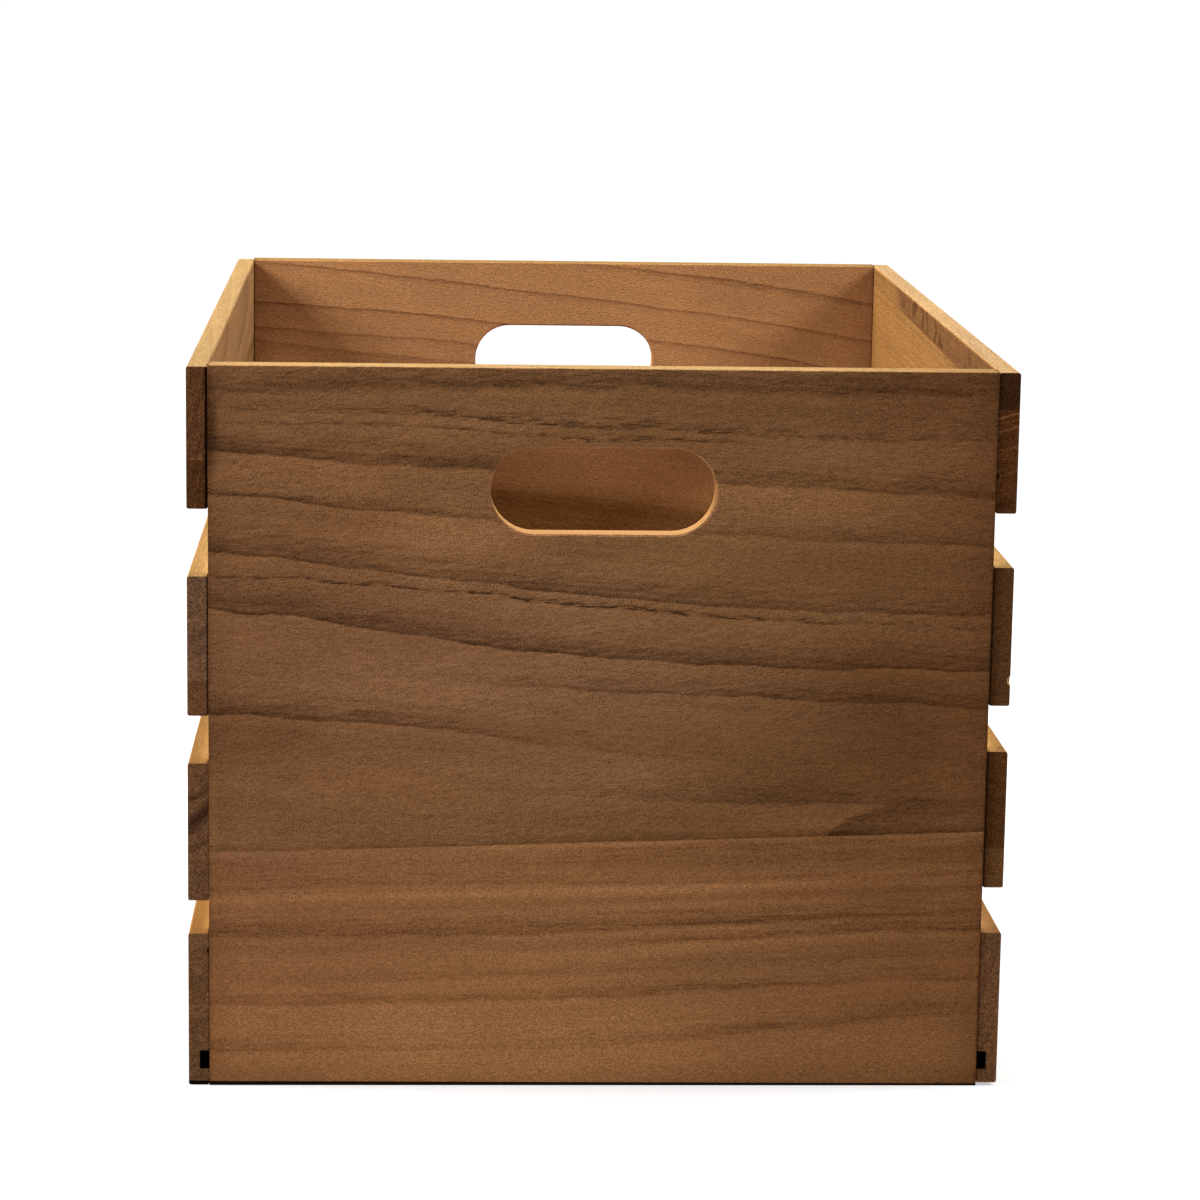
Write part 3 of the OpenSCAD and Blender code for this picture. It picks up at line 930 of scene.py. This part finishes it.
# %% [markdown]
# ## Glued strips and curly figure
#
# Four of the slats are themselves glued up from two strips, which shows as a straight
# line across the end and a change of colour along the face. Inside the right top slat
# the fibres also lie in waves, which a maker calls curly figure: dark arcs that cross
# the grain. The strips act as one slat, so the seam between them is only drawn on.

# %% Extras along the slats
CURL_STEP = 0.024


def not_on_top(nodes):
    """1 on a slat's faces and ends, 0 on its edges."""
    return nodes.spread(facing(nodes, "Z"), 0.3, 0.8, 1.0, 0.0)


def above_seam(nodes, place, height, climb):
    """How far above a seam a point lies. The seam has its height at the slat's middle."""
    return nodes.minus(place[1], nodes.math("MULTIPLY_ADD", place[0], climb, height))


def strip(height, tint, climb=0.0, above=False, pales_from=None, glue=None, plain_end=None):
    """A strip glued on below (or above) a seam, with its own tone, all along or up to a place."""
    def glued(nodes, tone, place, end):
        up = above_seam(nodes, place, height, climb)
        side = nodes.spread(up, -0.0002, 0.0002, 0.0 if above else 1.0, 1.0 if above else 0.0)
        if pales_from is not None:
            ragged = nodes.math("MULTIPLY_ADD", up, -2.0, place[0])
            pales = nodes.spread(ragged, pales_from, pales_from + 0.03, 1.0, 0.25)
            side = nodes.times(nodes.times(side, pales), not_on_top(nodes))
        tone = nodes.tinted(side, tone, *tint)
        if plain_end:
            pores = nodes.noise(from_block(nodes, place, (700, 500, 900), 8.1), 2.0)
            colours = [shade(*colour) for colour in plain_end]
            plain = nodes.blend(nodes.spread(pores, 0.3, 0.7), *colours)
            tone = nodes.blend(nodes.times(nodes.times(side, end), 0.85), tone, plain)
        if glue:
            seam = nodes.spread(nodes.math("ABSOLUTE", up), 0.0001, 0.0005, 1.0, 0.0)
            tone = nodes.tinted(nodes.times(seam, end), tone, *glue)
        return tone
    return glued


def curly(height, climb, until):
    """Curly figure: dark arcs across the fibres of the strip above a seam, up to a place."""
    def curled(nodes, tone, place, end):
        up = above_seam(nodes, place, height, climb)
        there = nodes.times(nodes.spread(up, 0.0, 0.003), not_on_top(nodes))
        there = nodes.times(there, nodes.spread(place[0], until - 0.05, until, 1.0, 0.0))
        bend = nodes.swing(from_block(nodes, place, (24, 70, 70), 7.7), 1.0)
        bend = nodes.times(bend, 3.5)
        arcs = nodes.math("MULTIPLY_ADD", place[0], 2 * math.pi / CURL_STEP, bend)
        arcs = nodes.math("SINE", nodes.math("MULTIPLY_ADD", place[1], 130.0, arcs))
        patches = nodes.noise(from_block(nodes, place, (16, 50, 50), 9.1), 1.0)
        patches = nodes.spread(patches, 0.38, 0.62, 0.1, 1.0)
        share = nodes.times(nodes.spread(arcs, -0.5, 0.9), patches)
        share = nodes.times(nodes.times(share, there), nodes.minus(1.0, end))
        return nodes.tinted(share, tone, 0.52, 0.46, 0.42)
    return curled


# %% [markdown]
# ## Bands and torn fibres on the ends
#
# A slat's end is the slat's face to the front of the crate. Some ends show a few rings
# as clear pale or dark bands, so these few are laid one by one over the random rings. On
# the left top slat the saw has torn the fibres, which leaves paler ones running up.


# %% Extras of the sawn ends
def end_bands(*bands):
    """Bands on a sawn end: height at the joint in mm, rise outwards, half width in mm, tint."""
    def banded(nodes, tone, place, end):
        outward = nodes.times(past_joint(nodes, place), 1000.0)
        bend = nodes.swing(from_block(nodes, place, (200, 260, 260), 9.7), 1.0)
        height_mm = nodes.math("MULTIPLY_ADD", bend, 0.35, nodes.times(place[1], 1000.0))
        for height, rise, half, tint in bands:
            level = nodes.math("MULTIPLY_ADD", outward, -rise, height_mm)
            off = off_middle(nodes, level, height)
            near = nodes.spread(off, half * 0.3, half * 1.7, 1.0, 0.0)
            tone = nodes.tinted(nodes.times(near, end), tone, *tint)
        return tone
    return banded


def torn_fibres(nodes, tone, place, end):
    """Paler fibres that run up a sawn end, where the saw has torn them."""
    leaning = nodes.math("MULTIPLY_ADD", place[1], -0.12, place[2])
    beside, up = nodes.times(leaning, 1200.0), nodes.times(place[1], 110.0)
    fibres = nodes.swing(nodes.vector(beside, up, 6.3), 2.0)
    light = nodes.spread(fibres, -0.9, 1.0, 0.74, 1.34)
    return nodes.blend(end, tone, nodes.scaled(tone, light))


# %% [markdown]
# ## The slats
#
# Each slat comes from another place in another log. They could all share one material
# with a random tone, but the eye compares their ends beside the front panel, so each has
# its own pith, ring width and tones in a row of the list.

# %% Slats
WARM = ((156, 114, 75), (108, 72, 44))
PLAIN = ((152, 113, 77), (106, 75, 49))
HONEY = ((144, 103, 57), (102, 65, 33))
RUSSET = ((135, 101, 65), (89, 60, 36))
# Each row: slat, tones, rings, ring contrast on the faces and on the end, tints of the
# upper edge (paler wood with painted light and sheen) and of the end, extras.
SLATS = [
    ("left_top_slat", RUSSET, rings_round_pith((0.31, -0.205), 0.0080, 0.02, 0.05), 0.85, 0.25,
     (0.95, 1.09, 1.04), (0.66, 0.505, 0.49),
     [strip(0.275, (0.80, 0.74, 0.62), glue=(1.6, 1.6, 1.6)), torn_fibres,
      painted_joint_shadow(1.3, 1.0, 0.3)]),
    ("left_second_slat", PLAIN, rings_round_pith((0.245, -0.190), 0.0070, 0.03, -0.04), 0.85, 0.15,
     (1.10, 1.16, 0.84), (0.74, 0.715, 0.825),
     [strip(0.1795, (0.80, 0.69, 0.60)), end_bands((201, -0.3, 3.0, (0.80, 0.80, 0.80))),
      painted_joint_shadow(0.8, 0.9)]),
    ("left_third_slat", PLAIN, rings_round_pith((0.2455, -0.2575), 0.0105, -0.03, 0.05), 0.85, 0.2,
     (0.90, 0.86, 0.58), (0.615, 0.555, 0.575),
     [end_bands((131.4, -0.5, 1.3, (0.70, 0.67, 0.64)), (123.8, -1.05, 3.8, (0.40, 0.38, 0.40)),
                (109.0, -0.5, 1.3, (0.72, 0.70, 0.70))),
      painted_joint_shadow(0.5, 0.45)]),
    ("left_bottom_slat", PLAIN, rings_round_pith((-0.13, -0.172), 0.0150, 0.02, 0.05), 0.85, 0.2,
     (0.90, 0.81, 0.50), (0.64, 0.58, 0.555),
     [nail_nick(0.0603), painted_joint_shadow(0.6, 0.55), dark_groove, painted_contact_shadow]),
    ("right_top_slat", HONEY, rings_round_pith((0.473, 0.112), 0.0036, 0.012, 0.03, 0.006),
     0.40, 0.3, (0.875, 1.12, 1.70), (0.47, 0.35, 0.35),
     [strip(0.3025, (0.60, 0.57, 0.66), 0.015, above=True, pales_from=0.09,
            plain_end=((60, 36, 19), (86, 54, 31))),
      curly(0.3025, 0.015, 0.12),
      end_bands((295.2, 0.30, 0.45, (2.3, 2.4, 2.7)), (292.7, 0.25, 0.32, (1.7, 1.75, 1.9)),
                (289.1, 0.32, 0.45, (2.1, 2.2, 2.4)), (281.5, 0.20, 0.35, (1.6, 1.65, 1.8)),
                (278.6, 0.20, 0.30, (1.4, 1.4, 1.5)), (269.9, 0.35, 0.35, (1.5, 1.5, 1.6)),
                (263.4, 0.35, 0.30, (1.3, 1.3, 1.4)), (257.0, 0.3, 1.6, (0.72, 0.74, 0.8))),
      nail_nick(0.2704), painted_joint_shadow(0.5, 0.45, 0.3)]),
    ("right_second_slat", WARM, rings_round_pith((0.36, 0.10), 0.0075, -0.02, 0.04), 0.85, 0.12,
     (1.33, 1.47, 1.22), (0.455, 0.38, 0.325), [painted_joint_shadow(0.9, 0.8, 0.6, 6.0)]),
    ("right_third_slat", WARM, rings_round_pith((0.085, 0.168), 0.0065, 0.03, -0.04), 0.85, 0.12,
     (1.65, 2.00, 1.72), (0.575, 0.50, 0.43),
     [strip(0.107, (0.70, 0.62, 0.54), above=True), painted_joint_shadow(0.9, 0.8, 0.6, 6.0)]),
    ("right_bottom_slat", WARM, rings_round_pith((0.086, 0.031), 0.0060, 0.015, 0.05), 0.85, 0.30,
     (1.01, 1.00, 0.84), (0.68, 0.62, 0.63), [painted_joint_shadow(0.6, 0.7, 0.2), dark_groove, painted_contact_shadow]),
]
for seed, row in enumerate(SLATS, start=10):
    board, tones, rings, ring_share, end_rings, edge_tint_and_sheen, end_tint, extras = row
    finish_board(board, wood(board + "_wood", board, "YZX", seed, *tones, rings, hair_climb=0.0,
                             edge_tint_and_sheen=edge_tint_and_sheen, end_tint=end_tint, ring_share=ring_share,
                             end_rings=end_rings, extras=extras))
print("slats", len(SLATS))

# %% [markdown]
# ## The floor
#
# A thin panel of the same wood, less stained, because nobody sees it once the box is
# full. Its two long edges lie deep in the slats' grooves, where they are painted dark as shade.

# %% Floor
DARK_FROM, DARK_AT = 0.1670, 0.1680


def shade_in_groove(nodes, tone, place, end):
    """Painted shade on the part of the floor that lies in the slats' grooves."""
    hidden = nodes.spread(nodes.math("ABSOLUTE", place[1]), DARK_FROM, DARK_AT)
    return nodes.tinted(hidden, tone, 0.08, 0.08, 0.08)


finish_board("floor_panel", wood(
    "floor_wood", "floor_panel", "YXZ", 30, (168, 126, 84), (122, 84, 53),
    rings_round_pith((0.02, -0.16), 0.009, 0.01, 0.03), extras=[shade_in_groove]))
print("wooden boards", sum(not name.endswith("_brads") for name in boards))

# %% [markdown]
# ## The brads
#
# Bright drawn wire, with a flat head that the nail gun leaves just under the surface. One
# material does for all of them, because only their small heads show.

# %% Brads
brad_steel, nodes, surface = new_material("brad_steel")
scratches = nodes.noise(from_block(nodes, crate_place(nodes), (2600, 2600, 2600), 40), 2.0)
steel = nodes.blend(scratches, shade(150, 146, 140), shade(92, 88, 84))
nodes.feed(surface.inputs["Base Color"], steel)
nodes.feed(surface.inputs["Roughness"], nodes.spread(scratches, 0.3, 0.7, 0.28, 0.5))
surface.inputs["Metallic"].default_value = 1.0
brad_rows = [name for name in boards if name.endswith("_brads")]
for name in brad_rows:
    finish_board(name, brad_steel)
print("rows of brads", len(brad_rows))
